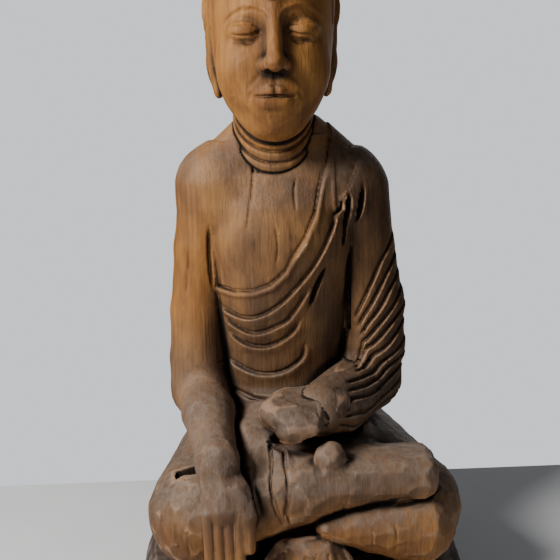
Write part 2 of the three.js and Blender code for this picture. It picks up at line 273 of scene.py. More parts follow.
def relief(clay, line, reach, shape):
    """Builds the surface up (or carves it down) by shape(across, height, at) millimetres near a line."""
    where, x, y, z = clay.window(line.points.min(0) - reach, line.points.max(0) + reach)
    x, y, z = x.ravel(), y.ravel(), z.ravel()
    best = np.full((len(x), len(y), len(z)), reach * reach, np.float32)
    nearest = np.full(best.shape, -1, np.int32)
    n = int(reach / clay.cell) + 1
    for j, p in enumerate(line.points):
        i = [int(np.searchsorted(axis, value)) for axis, value in zip((x, y, z), p)]
        s = tuple(slice(max(0, k - n), k + n) for k in i)
        d2 = (
            ((x[s[0]] - p[0]) ** 2)[:, None, None]
            + ((y[s[1]] - p[1]) ** 2)[None, :, None]
            + ((z[s[2]] - p[2]) ** 2)[None, None, :]
        )
        closer = d2 < best[s]
        best[s][closer] = d2[closer]
        nearest[s][closer] = j
    cells = np.nonzero((nearest >= 0) & (np.abs(clay.d[where]) < 6.0))
    j = nearest[cells]
    q = np.stack([x[cells[0]], y[cells[1]], z[cells[2]]], axis=1) - line.points[j]
    across = np.einsum("ij,ij->i", q, line.side[j])
    height = np.einsum("ij,ij->i", q, line.normal[j])
    block = clay.d[where]
    block[cells] -= shape(across, height, line.at[j])


def taper(at, length, run):
    return ease(at / run) * ease((length - at) / run)


def groove(clay, marks, depth, width, run=6.0, closing=0.35):
    """A knife-cut V groove that dies out over `run` at both ends."""
    line = Line(clay, marks)

    def shape(across, height, at):
        worn = taper(at, line.length, run)
        rho = np.sqrt(across**2 + (closing * height) ** 2)
        return -depth * worn * np.maximum(0.0, 1.0 - rho / (width * (0.35 + 0.65 * worn)))

    relief(clay, line, max(2.5 * width, 2 * clay.cell) + 1, shape)


def fold(clay, marks, rise=1.7, depth=2.6, fade=4.6, width=1.35, run=8.0, proud=-1):
    """A lap of cloth: the surface dips to a cut line and stands proud on its far side."""
    line = Line(clay, marks)

    def shape(across, height, at):
        s = across * proud
        proud_side = rise * np.exp(-((s / fade) ** 2)) * ease(s / 0.9)
        up = np.where(s > 0, proud_side, -0.45 * depth * np.exp(s / (0.5 * fade)))
        rho = np.sqrt((s + 0.4) ** 2 + (0.4 * height) ** 2)
        cut_line = -depth * np.maximum(0.0, 1.0 - rho / width)
        return taper(at, line.length, run) * (up * np.exp(-np.abs(height) / 6.0) + cut_line)

    relief(clay, line, 2.0 * fade + 1, shape)


def ridge(clay, marks, rise, width, run=5.0):
    line = Line(clay, marks)

    def shape(across, height, at):
        return rise * taper(at, line.length, run) * np.exp(-(across / width) ** 2)

    relief(clay, line, 2.4 * width + 1, shape)


# ---------- the figure ----------
def build_trunk(clay):
    profile = [
        (43, SEAT), (43, 70), (38.5, 98), (35.5, 118), (36, 138), (38.5, 155), (42, 182),
        (43.5, 205), (41, 224), (34, 240), (26, 251), (20, 258),
    ]
    clay.add(pillar(profile, TRUNK_X, TRUNK_Y, 0.8, 2.25))
    clay.add(ellipsoid((TRUNK_X, 4, 206), 34, 19, 24), 12)
    clay.add(limb((TRUNK_X - 15.5, 22, 257), SHOULDER_R + (3.5, 0, 10), 16.8, 20), 10)
    clay.add(limb((TRUNK_X + 14, 22, 257.5), SHOULDER_L + (-7, 0, 11), 16.8, 20), 10)
    clay.add(ellipsoid((NECK[0], 27, 250), 28, 19, 16), 6)


def shoulder_fillet(z):
    """The arms melt into the shoulders and lie against the flanks with a tight fold."""
    return 1.2 + 12.8 * ease((z - 206) / 18)


def above_elbow(z):
    """Negative above the elbow seam, and for a little way below it so that the sawn face is clean."""
    return ELBOW_SEAM - 8 - z


def below_elbow(z):
    return z - ELBOW_SEAM


def merged(parts, k):
    """Several forms melted together as one form."""
    lows = np.min([p[1] for p in parts], axis=0)
    highs = np.max([p[2] for p in parts], axis=0)

    def distance(x, y, z):
        value = parts[0][0](x, y, z)
        for part in parts[1:]:
            value = melt(value, part[0](x, y, z), k)
        return value

    return distance, lows, highs


def intersected(a, b):
    """What two forms share."""
    def distance(x, y, z):
        return np.maximum(a[0](x, y, z), b[0](x, y, z))

    return distance, np.maximum(a[1], b[1]), np.minimum(a[2], b[2])


RIGHT_ARM = merged(
    [
        limb(SHOULDER_R + (1.5, 0, 5.5), (-52.5, 18, 198), 23, 18),
        limb((-52.5, 18, 198), (-58, 14.5, 160), 18, 16.2),
        limb((-58, 14.5, 160), ELBOW_R + (-1, 1, 15), 16.2, 16.6),
        limb(ELBOW_R + (-1, 1, 15), ELBOW_R + (0.5, 0, 0), 16.6, 15.5),
    ],
    3,
)
LEFT_ARM = merged(
    [
        limb(SHOULDER_L + (0.8, 0, 1), (38.5, 19, 196), 23, 19),
        limb((38.5, 19, 196), (45, 15, 162), 19, 18.3),
        limb((45, 15, 162), ELBOW_L + (0, 1.5, 18), 18.3, 17.6),
        limb(ELBOW_L + (0, 1.5, 18), ELBOW_L + (-2.5, 0, 0), 17.6, 16.5),
    ],
    3,
)


# The robe's upper edge: (x, height), over the left shoulder and under the right arm.
RIM_FRONT = [
    (-50, 178), (-43, 177), (-35, 176), (-25, 177), (-15, 181), (-7, 189), (-2, 198),
    (4, 207), (10, 220), (14, 236), (18, 248), (20.5, 260), (22.5, 300),
]
RIM_BACK = [(-50, 178), (-40, 186), (-24, 204), (-8, 224), (6, 242), (14, 255), (19, 266), (21.5, 300)]


def rim_height(x, y):
    """Height of the robe's upper edge at a place on the trunk."""
    front, back = (np.interp(x, *zip(*rim)) for rim in (RIM_FRONT, RIM_BACK))
    return front + (back - front) * ease((y - TRUNK_Y + 14) / 28)


def drape(clay, thickness=1.3):
    """Lays the robe's layer over the trunk and the left arm, with a rolled hem along its upper edge."""
    x, y, z = clay.axes
    edge = rim_height(x[:, None], y[None, :]).astype(np.float32)
    steep = np.abs(np.gradient(edge, clay.cell, axis=0))
    squeeze = (1.0 / np.sqrt(1.0 + steep * steep)).astype(np.float32)
    below = (edge[:, :, None] - z[None, None, :]) * squeeze[:, :, None]
    layer = thickness * ease(below / 1.0 + 0.3)
    hem = 1.1 * np.exp(-(((below - 1.9) / 1.5) ** 2))
    cut_line = -1.1 * np.maximum(0.0, 1.0 - np.abs(below + 0.9) / 1.3)
    clay.d -= layer + (hem + cut_line) * ease((266.0 - z) / 14.0)[None, None, :]


ROBE_FOLDS = [
    [
        (33, 12, 246), (28, 2, 235), (22, -4, 222), (15, -11, 205),
        (5, -13, 187), (-11, -12, 169), (-28, -8, 161), (-44, 4, 166),
    ],
    [(7, -12, 180), (-2, -12, 165), (-9, -11, 158), (-26, -7, 152), (-42, 3, 161)],
    [(2, -11, 161), (-5, -10, 151), (-18, -8, 144), (-31, -5, 145), (-40, 2, 152)],
    [(4, -9, 146), (2, -9, 136), (-10, -9, 128), (-25, -6, 127), (-40, 6, 133)],
]
ROBE_SLITS = [
    [(28.6, 1, 232), (25.6, -2, 217), (22.5, -5, 199)],
    [(36, 2, 236), (35.2, 0, 224), (33.5, -1, 211)],
    [(14.5, -8, 194), (10, -10, 179), (4.5, -10, 165)],
]


def between(first, last, shares):
    """Lines between two chosen lines of marks."""
    first, last = np.array(first, float), np.array(last, float)
    return [first + (last - first) * share for share in shares]


SLEEVE_TOP = [(52, 18, 205), (48, 2, 190), (42, -3, 176), (36, -4, 164), (31, -3, 155)]
SLEEVE_MIDDLE = [(64, 16, 150), (60, 0, 143), (52, -8, 136), (42, -14, 132), (32, -22, 131)]
SLEEVE_LOW = [(60, 6, 106), (52, -10, 103), (41, -22, 103), (30, -34, 104), (21, -44, 107)]
SLEEVE_FOLDS = between(SLEEVE_TOP, SLEEVE_MIDDLE, (0.0, 0.2, 0.38, 0.56, 0.72, 0.9))
CUFF_FOLDS = between(
    SLEEVE_MIDDLE + [(26, -27, 131)], SLEEVE_LOW + [(17, -47, 108)], (0.14, 0.34, 0.52, 0.74, 0.94)
)
BACK_FOLDS = [
    [(30, 40, 240), (14, 50, 222), (-6, 54, 204), (-28, 50, 188), (-44, 36, 178)],
    [(42, 38, 222), (26, 50, 204), (4, 54, 184), (-22, 52, 168), (-44, 36, 158)],
    [(44, 38, 196), (28, 50, 178), (6, 53, 160), (-18, 52, 146), (-42, 38, 138)],
    [(40, 38, 166), (24, 50, 152), (2, 52, 138), (-20, 52, 126), (-42, 40, 118)],
    [(34, 46, 136), (12, 54, 122), (-12, 56, 110), (-36, 50, 102)],
]


def legs(clay):
    hip_r, knee_r = (-40, 25, 58), (-57, -33, 55)
    hip_l, knee_l = (34, 25, 58), (60, -31, 54)
    clay.add(merged([limb(hip_r, knee_r, 35.5, 31), limb(hip_l, knee_l, 35.5, 30)], 6), 5)
    clay.add(ellipsoid((-4, -15, 80), 50, 40, 35), 8)
    # a deep hollow under the shins, with a fan of robe standing in front of it
    clay.cut(limb((-30, -66, 40), (16, -66, 52), 13, 12), k=2)
    clay.cut(limb((2, -70, 30), (26, -70, 30), 9, 9), k=2)
    # the left shin runs to a point beneath the right one
    clay.add(limb((60, -40, 50), (12, -57, 55), 26, 6.5), 1)
    # right shin, and the foot that lies sole up on the left thigh
    clay.add(limb((-57, -39, 58), (-2, -46, 76), 25, 20.5), 2)
    clay.add(limb((-2, -46, 76), (44, -45, 80), 20.5, 13, (0, 0, 1), 0.95), 1.5)
    clay.add(slab((4, -62, 71), (72, -26, 94), 8), 5)
    clay.cut(limb((84, -74, 100), (62, -64, 98), 7, 4), k=3)
    clay.cut(limb((44, -30, 100), (74, -34, 100), 8, 9), k=4)
    # the fan of robe
    fan = [(37, SEAT - 2), (24, 48), (20, 51.5)]
    clay.add(intersected(pillar(fan, 0, -46, 0.78, 2.0), slab((-60, -90, 0), (60, -58, 60))), 0.6)
    # loose cloth between the belly and the right shin
    clay.add(limb((-30, -32, 98), (-26, -56, 78), 9, 7), 6)
    clay.add(limb((-14, -36, 101), (-13, -56, 84), 7, 6), 5)
    # open air under the left hand and sleeve
    clay.cut(ellipsoid((18, -40, 101.5), 36, 18, 7), k=4)
    clay.add(ellipsoid((13.5, -55, 95), 8.5, 7, 9.5), 2.5)
    # an old mortise in the right thigh
    clay.cut(slab((-71, -43.5, 74), (-57, -38, 110)))
    clay.cut(slab((-200, -200, 0), (200, 200, SEAT)))


RIGHT_ARMPIT = [(-50.5, -5, 215), (-49.5, -4, 204), (-48.8, -2, 190), (-48.4, 2, 174)]
LEFT_ARMPIT = [(32, 2, 203), (30.5, 2, 190), (29.5, 2, 174), (28.5, 1, 158), (27.5, 0, 142)]
LAP_LINES = [
    # where the belly meets the lap
    ([(-44, 6, 116), (-30, -6, 113), (-12, -15, 112), (6, -18, 114), (24, -14, 118)], 3.0, 1.9),
    # hem of the under-robe across the right shin
    ([(-19, -44, 102), (-19, -56, 92), (-19, -62, 82), (-16, -66, 70), (-13, -62, 60)], 3.0, 1.5),
    ([(-11, -44, 102), (-11, -57, 92), (-10, -64, 80), (-11, -66, 70), (-9, -62, 60)], 3.0, 1.5),
    ([(-28, -46, 96), (-27, -60, 82), (-24, -66, 66)], 1.6, 1.6),
    # the foot's front edge and the heel
    ([(72, -44, 69), (60, -54, 68), (46, -60, 68)], 3.0, 2.0),
    # drying checks
    ([(22, -62, 80), (22, -64, 72), (21, -63, 64)], 1.6, 0.8),
    ([(47, -63, 62), (48, -66, 50), (46, -64, 38)], 1.8, 0.9),
    ([(34, -64, 60), (35, -66, 50), (34, -64, 42)], 1.4, 0.8),
    ([(-76, -58, 74), (-75, -63, 60), (-76, -62, 46)], 1.6, 0.8),
    ([(-64, -66, 66), (-65, -68, 52), (-64, -66, 38)], 1.4, 0.7),
]
FAN_LINES = [(-26, -9), (-18, -6), (-10, -3), (-2, 0), (6, 2), (14, 4), (22, 6)]
CHEST_CHECKS = [
    [(-23, -1, 250), (-25, -8, 229), (-27, -11, 210)],
    [(1, -5, 242), (-1, -8, 234), (-1, -12, 220)],
    [(-12, -12, 216), (-11, -14, 205), (-12, -14, 192)],
    [(-63, -2, 205), (-64, -2, 190), (-64, 0, 172)],
]


def build_figure(right_arm, left_arm):
    clay = Clay((-92, -82, SEAT - 3), (92, 64, 282), BODY_CELL)
    build_trunk(clay)
    drape(clay)
    for marks in ROBE_FOLDS + BACK_FOLDS:
        fold(clay, marks)
    clay.merge(left_arm, shoulder_fillet, above_elbow)
    for marks in ROBE_SLITS:
        groove(clay, marks, 7.5, 1.9, 10, 0.12)
    clay.merge(right_arm, shoulder_fillet, above_elbow)
    groove(clay, RIGHT_ARMPIT, 3.0, 1.5, 11, 0.2)
    groove(clay, LEFT_ARMPIT, 4.0, 2.2, 14, 0.15)
    legs(clay)
    for marks, depth, width in LAP_LINES:
        groove(clay, marks, depth, width)
    for x, splay in FAN_LINES:
        groove(clay, [(x * 0.8, -68, 46), (x, -72, 38), (x + 0.5 * splay, -74, 27)], 1.2, 1.4, 3)
    for marks in CHEST_CHECKS:
        groove(clay, marks, 1.8, 0.9, 6)
    return clay


def build_right_arm():
    """The bare right arm from shoulder to finger tips."""
    clay = Clay((-84, -84, 26), (-12, 60, 264), BODY_CELL)
    middle = (ELBOW_R + WRIST_R) / 2 + (0, 3, 2)
    clay.add(RIGHT_ARM)
    clay.add(limb(ELBOW_R + (-0.5, -3, -5), middle, 15.5, 14), 12)
    clay.add(limb(middle, WRIST_R, 14, 10.8), 6)
    knuckles = np.array([-44, -69, 76])
    clay.add(limb(WRIST_R, knuckles, 11, 11, (0, 1, 0), 0.72), 5)
    for i in range(4):
        x = knuckles[0] - 8.0 + 5.2 * i
        tip = 33 + abs(i - 1.6) * 3.0
        clay.add(limb((x, -72, 75), (x + 0.3, -75.3, tip), 3.5, 2.9), 0.5)
    clay.add(limb((-36, -66, 86), (-31.5, -71, 72), 5.4, 4.6), 4)
    clay.add(limb((-31.5, -71, 72), (-31, -73.5, 55), 4.2, 3.2), 2)
    return clay


def build_left_arm():
    """The sleeved left arm from shoulder to cuff, its folds running on over the elbow."""
    clay = Clay((-8, -56, 90), (74, 60, 264), BODY_CELL)
    clay.add(LEFT_ARM)
    clay.add(limb(ELBOW_L + (-3, 0, -2), CUFF_L + (-2, 0, -3.5), 16.8, 13.5), 6)
    clay.add(limb(ELBOW_L + (0, 2, -4), CUFF_L + (12, 4, -8), 14, 9), 6)
    clay.d -= 1.3
    for folds, run in ((SLEEVE_FOLDS, 7), (CUFF_FOLDS, 5)):
        for marks in folds:
            fold(clay, marks, rise=0.6, depth=3.2, fade=2.6, width=1.3, run=run)
    return clay


def build_left_hand():
    """A blunt, half-closed hand with broad planes: wrist, back of the hand, folded fingers."""
    clay = Clay((-36, -66, 94), (30, -14, 136), BODY_CELL)
    facing = np.array([0.0, -0.45, 0.893])
    clay.add(limb((14, -36, 119.5), (-5, -41, 118), 12, 14.5, facing, 0.7))
    clay.add(ellipsoid((-15, -41, 116.5), 8.5, 10.5, 7.5), 5)
    clay.add(limb((4, -50, 113), (-8, -51, 111), 6.4, 6.0), 4)
    clay.add(ellipsoid((-7, -50, 109), 8, 5.5, 5.0), 4)
    clay.cut(ellipsoid((-4, -44, 130), 17, 13, 5.5), k=3)
    return clay


def neck_form():
    """The neck with its three soft rings, dipping towards the throat; below them it is the tenon."""
    def distance(x, y, z):
        dx, dy = x - NECK[0], y - NECK[1]
        rho = np.sqrt(dx * dx + dy * dy)
        facing = -dy / np.maximum(rho, 1.0)
        level = z - 22.0 * (1.0 - facing)
        t = (level - 242.0) / 6.2
        roll = (np.sin(math.pi * t) ** 2 + 0.02) ** 0.33 * ease(t * 4) * ease((3.05 - t) * 4)
        radius = NECK_RADIUS - 0.9 * ease((level - 240.0) / 4) + 2.3 * roll * ease(0.5 + facing * 0.9)
        return np.maximum((rho - radius) * 0.85, np.maximum(TENON_BOTTOM - z, z - 292.0))

    reach = NECK_RADIUS + 3
    return (
        distance,
        np.array([NECK[0] - reach, NECK[1] - reach, TENON_BOTTOM]),
        np.array([NECK[0] + reach, NECK[1] + reach, 292.0]),
    )


# ---------- the head ----------
def mirrored(form):
    """The same form on both sides of the head's middle plane."""
    distance, low, high = form
    cx = NECK[0]
    reach = max(abs(low[0] - cx), abs(high[0] - cx))

    def both(x, y, z):
        return distance(cx + np.abs(x - cx), y, z)

    return both, np.array([cx - reach, low[1], low[2]]), np.array([cx + reach, high[1], high[2]])


def face_point(side, forward, z):
    """A place on the head: millimetres to the side of its middle, and y and z as they are."""
    return np.array([NECK[0] + side, forward, z])


def both_sides(marks):
    """A line's marks on the left and mirrored on the right; each mark is (side, y, z)."""
    return [[face_point(hand * side, y, z) for side, y, z in marks] for hand in (1, -1)]


# Lines on the head: (side, y, z) from its middle plane.
EAR_RIM = [
    (35.2, 10.5, 319), (37.2, 10.0, 329), (37.6, 17, 336.5), (37.6, 25.5, 331),
    (36.6, 26.5, 319), (35.0, 22, 307), (34.4, 18.5, 300),
]
BROW = [(3.6, -29, 321), (6.0, -29, 326.5), (13.5, -27.5, 329.5), (21.5, -21.5, 327.5), (27, -14, 321.5)]
FACE_LINES = [
    # (marks, depth, width, run); a line whose first mark is on the positive side is cut on both sides
    # where the lids meet, the fold above, the fold below
    ([(6.6, -27.6, 316.6), (11, -28.4, 314.4), (16, -27.4, 313.9), (21.5, -23, 315.9)], 1.5, 0.95, 2.5),
    ([(7.2, -28, 319.6), (12, -28.4, 321.4), (17, -26.6, 321.4), (22.5, -21, 318.6)], 0.8, 0.9, 4),
    ([(8.0, -27.6, 313.6), (13, -27.4, 310.8), (18, -25, 311.4)], 0.45, 1.1, 4),
    # between the lips, the corners of the mouth, below the lips, above them, beside the nose
    (
        [(-11.0, -26, 285.2), (-6, -29, 284.0), (0, -30.6, 284.6), (6, -29, 284.0), (11.0, -26, 285.2)],
        1.7, 1.0, 3,
    ),
    ([(10.2, -26, 287.0), (11.6, -25, 285.2), (11.4, -25, 282.6)], 0.9, 1.5, 2),
    ([(-5, -27.6, 277.6), (0, -28.4, 277.0), (5, -27.6, 277.6)], 0.6, 1.8, 4),
    ([(0, -31, 295), (0, -30.6, 290)], 0.7, 1.6, 2),
    ([(6.5, -27.6, 296.5), (10.5, -26, 292), (13.2, -23.6, 287.5)], 0.45, 1.8, 4),
]


def build_head():
    p = face_point
    crown = CROWN_TOP - 18
    clay = Clay((NECK[0] - 46, -42, TENON_BOTTOM - 3), (NECK[0] + 46, 64, CROWN_TOP + 3), HEAD_CELL)
    clay.add(ellipsoid(p(0, 14, 331), 35.0, 40.5, crown - 331))
    clay.add(ellipsoid(p(0, 1, 303), 31, 29.5, 41), 8)
    clay.add(ellipsoid(p(0, -11.5, 272.5), 13.5, 13, 10.5), 12)
    clay.add(mirrored(ellipsoid(p(14.5, -12.5, 298), 13, 12.5, 16)), 9)
    clay.add(ellipsoid(p(0, 19, crown - 3), 19, 19, CROWN_TOP - crown - 2), 7)
    # eye hollows, then the closed lids within them
    clay.cut(mirrored(ellipsoid(p(14.5, -33, 317.5), 11, 8, 6.5)), k=7)
    clay.add(mirrored(ellipsoid(p(14.2, -18.6, 316.6), 9.6, 9.2, 6.0)), 2)
    # nose
    clay.add(limb(p(0, -25.5, 328), p(0, -32.2, 303), 3.0, 4.0), 4)
    clay.add(ellipsoid(p(0, -33.0, 300.6), 4.6, 4.6, 4.4), 3)
    clay.add(mirrored(ellipsoid(p(5.0, -28.6, 299.8), 3.4, 4.2, 3.3)), 2.2)
    clay.cut(mirrored(ellipsoid(p(2.9, -31.4, 296.4), 1.5, 2.2, 1.6)), k=1.2)
    # lips: a gently bowed upper lip, a fuller lower one, corners tucked in
    clay.add(ellipsoid(p(0, -21.5, 284), 15, 9.0, 11), 6)
    clay.add(mirrored(limb(p(2.4, -30.0, 287.0), p(9.6, -25.6, 285.6), 2.5, 1.2)), 2)
    clay.add(limb(p(-4.6, -28.3, 281.8), p(4.6, -28.3, 281.8), 2.9, 2.9), 3)
    # ears with long lobes
    clay.add(mirrored(limb(p(34.0, 19, 327), p(32.6, 16, 299), 10.5, 7.0, (1, 0, 0), 0.4)), 2)
    clay.add(mirrored(limb(p(32.4, 16, 301), p(30.0, 13, 288), 6.6, 5.2, (1, 0, 0), 0.6)), 3)
    clay.cut(mirrored(ellipsoid(p(39.2, 16.5, 321), 3.6, 6.0, 9.5)), k=1.5)
    clay.cut(mirrored(ellipsoid(p(36.0, 13.0, 293), 2.4, 1.5, 6.0)), k=1)
    for marks in both_sides(EAR_RIM):
        ridge(clay, marks, 1.3, 1.7, 6)
    # brows, lids and mouth cut as crisp lines
    for marks in both_sides(BROW):
        ridge(clay, marks, 0.75, 1.5, 5)
        groove(clay, [m + (0, 0, -2.4) for m in marks], 0.45, 1.5, 6)
    for line, depth, width, run in FACE_LINES:
        paired = line[0][0] > 0
        for marks in both_sides(line) if paired else [[p(*mark) for mark in line]]:
            groove(clay, marks, depth, width, run)
    clay.add(ellipsoid(p(0, -27.8, 334.5), 1.9, 1.9, 1.9), 0.8)
    clay.add(neck_form(), 2.0)
    # the hair stands a little proud of the brow
    x, y, z = clay.axes
    line = hairline(x[:, None, None] - NECK[0], y[None, :, None])
    above = z[None, None, :] - line
    near_skull = np.broadcast_to(np.abs(x - NECK[0])[:, None, None] < 33.0, above.shape)
    clay.d -= np.where(near_skull | (above > 40), 1.5 * ease(above / 1.2), 0.0).astype(np.float32)
    return clay


def hairline(side, y):
    """Height of the hair's lower edge: level over the brow, down before the ears, low on the nape."""
    front = 352 - 0.006 * side * side - 5 * ease((np.abs(side) - 20) / 10)
    temple = 352 - 32 * ease((y + 2) / 10)
    nape = 320 - 32 * ease((y - 24) / 16)
    return np.where(y < -2, front, np.minimum(np.minimum(front, temple), nape))


# ---------- meshing ----------
def mesh_block(clay, low, high, drills=()):
    """Meshes the part of a block between two corners, with a crisp arris at each sawn face."""
    low, high = np.asarray(low, float), np.asarray(high, float)
    where, x, y, z = clay.window(np.maximum(low - 3, -900), np.minimum(high + 3, 900))
    d = clay.d[where].copy()
    axes = (x, y, z)
    for i, axis in enumerate(axes):
        if np.isfinite(low[i]):
            d = np.maximum(d, low[i] - axis)
        if np.isfinite(high[i]):
            d = np.maximum(d, axis - high[i])
    for distance, near, far in drills:
        if all(axis.min() < b and axis.max() > a for axis, a, b in zip(axes, near, far)):
            d = np.maximum(d, -distance(x, y, z))
    reach = 3.0 * clay.cell
    d = np.pad(np.clip(d, -reach, reach), 1, constant_values=reach).astype(np.float32)
    grid = openvdb.FloatGrid(reach)
    grid.copyFromArray(d)
    points, quads = grid.convertToQuads(isovalue=0.0)
    origin = np.array([axis.ravel()[0] for axis in axes]) - clay.cell
    points, quads = largest_body(points * clay.cell + origin, quads.astype(np.int64))
    return square_arrises(clay, points, low, high), quads


def square_arrises(clay, points, low, high):
    """Moves the chamfered corners that meshing leaves beside a sawn face out to the true edge."""
    sawn = []
    for i in range(3):
        for value in (low[i], high[i]):
            if np.isfinite(value):
                near = np.abs(points[:, i] - value) < 0.8 * clay.cell
                sawn.append((i, value, near))
    edge = np.zeros(len(points), bool)
    for _, _, near in sawn:
        edge |= near
    edge &= np.abs(clay.sample(points)) < 0.95 * clay.cell
    for _ in range(4):
        q = points[edge]
        points[edge] = q - np.clip(clay.sample(q), -0.6, 0.6)[:, None] * clay.slope(q)
        for i, value, near in sawn:
            points[near, i] = value
    return points


def largest_body(points, quads):
    """Drops the crumbs that a cut leaves."""
    label = np.arange(len(points))
    while True:
        least = label[quads].min(axis=1)
        new = label.copy()
        for k in range(4):
            np.minimum.at(new, quads[:, k], least)
        new = new[new]
        if (new == label).all():
            break
        label = new
    names, counts = np.unique(label[quads[:, 0]], return_counts=True)
    quads = quads[label[quads[:, 0]] == names[counts.argmax()]]
    used = np.unique(quads)
    renumber = np.full(len(points), -1)
    renumber[used] = np.arange(len(used))
    return points[used], renumber[quads]


def face_normals(points, quads):
    """Outward normals at the vertices of a quad mesh."""
    a, b, c, d = (points[quads[:, k]] for k in range(4))
    flat = np.cross(c - a, d - b)
    total = np.zeros_like(points)
    for k in range(4):
        for i in range(3):
            total[:, i] += np.bincount(quads[:, k], flat[:, i], minlength=len(points))
    return total / np.maximum(np.linalg.norm(total, axis=1, keepdims=True), 1e-12)


# ---------- tool marks ----------
class Gouging:
    """Shallow scoops left by a flat gouge, one round each mark on the surface of a block."""

    TRIES = 60000

    def __init__(self, clay, spacing, seed):
        rng = np.random.default_rng(seed)
        near = np.argwhere(np.abs(clay.d) < clay.cell)
        near = near[rng.permutation(len(near))[: self.TRIES]]
        marks = (near + clay.first) * clay.cell
        chosen = {}
        for mark in marks:
            chosen.setdefault(tuple((mark // spacing).astype(int)), mark)
        marks = np.array(list(chosen.values())) + rng.uniform(-0.2, 0.2, (len(chosen), 3)) * spacing
        for _ in range(5):
            marks = marks - np.clip(clay.sample(marks), -3, 3)[:, None] * clay.slope(marks)
        self.marks = marks
        self.normal = clay.slope(marks)
        self.depth = rng.uniform(0.0, 0.35, len(marks))
        self.tree = KDTree(len(marks))
        for i, mark in enumerate(marks):
            self.tree.insert(mark, i)
        self.tree.balance()

    def height(self, points, normals, hollow=0.012):
        """How far each point lies from the nearest scoops' surface, along its normal."""
        index = np.array([[hit[1] for hit in self.tree.find_n(p, 4)] for p in points.tolist()])
        best = np.full(len(points), 9.0)
        for k in range(4):
            j = index[:, k]
            q = self.marks[j] - points
            facing = np.einsum("ij,ij->i", normals, self.normal[j])
            rise = np.einsum("ij,ij->i", q, self.normal[j]) / np.maximum(facing, 0.5)
            rise = rise + hollow * (q * q).sum(axis=1) - self.depth[j]
            rise = np.where(facing > 0.6, np.maximum(rise, -0.3), 9.0)
            best = np.minimum(best, rise)
        return np.where(best > 5, 0.0, best)


def shelter(points, normals, clays, radii):
    """0 in the open, 1 deep in a hollow: how much nearer than open air the wood is."""
    total = np.zeros(len(points))
    for r in radii:
        probe = points + normals * r
        gap = np.min([clay.sample(probe) for clay in clays], axis=0)
        total += np.clip(1.0 - gap / r, 0.0, 1.0)
    return total / len(radii)


def exposure(points, normals, clays, radii):
    """1 on a sharp outer edge, 0 on flat wood."""
    total = np.zeros(len(points))
    for r in radii:
        probe = points - normals * r
        depth = np.min([clay.sample(probe) for clay in clays], axis=0)
        total += np.clip(1.0 + depth / r, 0.0, 1.0)
    return total / len(radii)


def make_object(name, points, quads, material, attributes):
    mesh = bpy.data.meshes.new(name)
    mesh.vertices.add(len(points))
    mesh.vertices.foreach_set("co", (points * MM).astype(np.float32).ravel())
    mesh.loops.add(len(quads) * 4)
    mesh.loops.foreach_set("vertex_index", quads.astype(np.int32).ravel())
    mesh.polygons.add(len(quads))
    mesh.polygons.foreach_set("loop_start", np.arange(0, len(quads) * 4, 4, dtype=np.int32))
    mesh.update(calc_edges=True)
    mesh.polygons.foreach_set("use_smooth", np.ones(len(quads), bool))
    mesh.set_sharp_from_angle(angle=math.radians(62))
    for label, values in attributes.items():
        layer = mesh.attributes.new(label, "FLOAT", "POINT")
        layer.data.foreach_set("value", values.astype(np.float32))
    mesh.materials.append(material)
    piece = bpy.data.objects.new(name, mesh)
    bpy.context.collection.objects.link(piece)
    return piece


# ---------- materials ----------
class Shader:
    """Small helper that lays out a material's nodes."""

    def __init__(self, name):
        self.material = bpy.data.materials.new(name)
        self.material.use_nodes = True
        self.tree = self.material.node_tree
        self.bsdf = self.tree.nodes["Principled BSDF"]
        self.tree.nodes.new("ShaderNodeTexCoord").name = "place"

    def node(self, kind, **settings):
        made = self.tree.nodes.new(kind)
        for key, value in settings.items():
            setattr(made, key, value)
        return made

    def link(self, source, target):
        self.tree.links.new(source, target)

    def feed(self, value, socket):
        if isinstance(value, (int, float)):
            socket.default_value = value
        elif isinstance(value, tuple):
            socket.default_value = (*value, 1.0)
        else:
            self.link(value, socket)

    def coords(self, stretch, shift=(0, 0, 0)):
        """Object coordinates in millimetres, squeezed along each axis."""
        mapping = self.node("ShaderNodeMapping")
        self.link(self.tree.nodes["place"].outputs["Object"], mapping.inputs["Vector"])
        mapping.inputs["Scale"].default_value = [v / MM for v in stretch]
        mapping.inputs["Location"].default_value = shift
        return mapping.outputs["Vector"]

    def noise(self, vector, scale, detail=3.0, rough=0.5, distortion=0.0):
        made = self.node("ShaderNodeTexNoise")
        self.link(vector, made.inputs["Vector"])
        settings = {"Scale": scale, "Detail": detail, "Roughness": rough, "Distortion": distortion}
        for key, value in settings.items():
            made.inputs[key].default_value = value
        return made.outputs["Fac"]

    def math(self, operation, a, b=0.0, clamp=False):
        made = self.node("ShaderNodeMath", operation=operation, use_clamp=clamp)
        self.feed(a, made.inputs[0])
        self.feed(b, made.inputs[1])
        return made.outputs[0]

    def ramp(self, value, low, high, start=0.0, end=1.0):
        """Maps low..high to start..end smoothly."""
        made = self.node("ShaderNodeMapRange", interpolation_type="SMOOTHSTEP")
        self.feed(value, made.inputs["Value"])
        for key, number in (("From Min", low), ("From Max", high), ("To Min", start), ("To Max", end)):
            made.inputs[key].default_value = number
        return made.outputs["Result"]

    def mix(self, amount, a, b, blend="MIX"):
        made = self.node("ShaderNodeMix", data_type="RGBA", blend_type=blend)
        self.feed(amount, made.inputs["Factor"])
        self.feed(a, made.inputs["A"])
        self.feed(b, made.inputs["B"])
        return made.outputs["Result"]

    def attribute(self, label):
        return self.node("ShaderNodeAttribute", attribute_name=label).outputs["Fac"]

    def bump(self, height, distance, strength=1.0, under=None):
        made = self.node("ShaderNodeBump")
        made.inputs["Strength"].default_value = strength
        made.inputs["Distance"].default_value = distance * MM
        self.feed(height, made.inputs["Height"])
        if under is not None:
            self.link(under, made.inputs["Normal"])
        return made.outputs["Normal"]


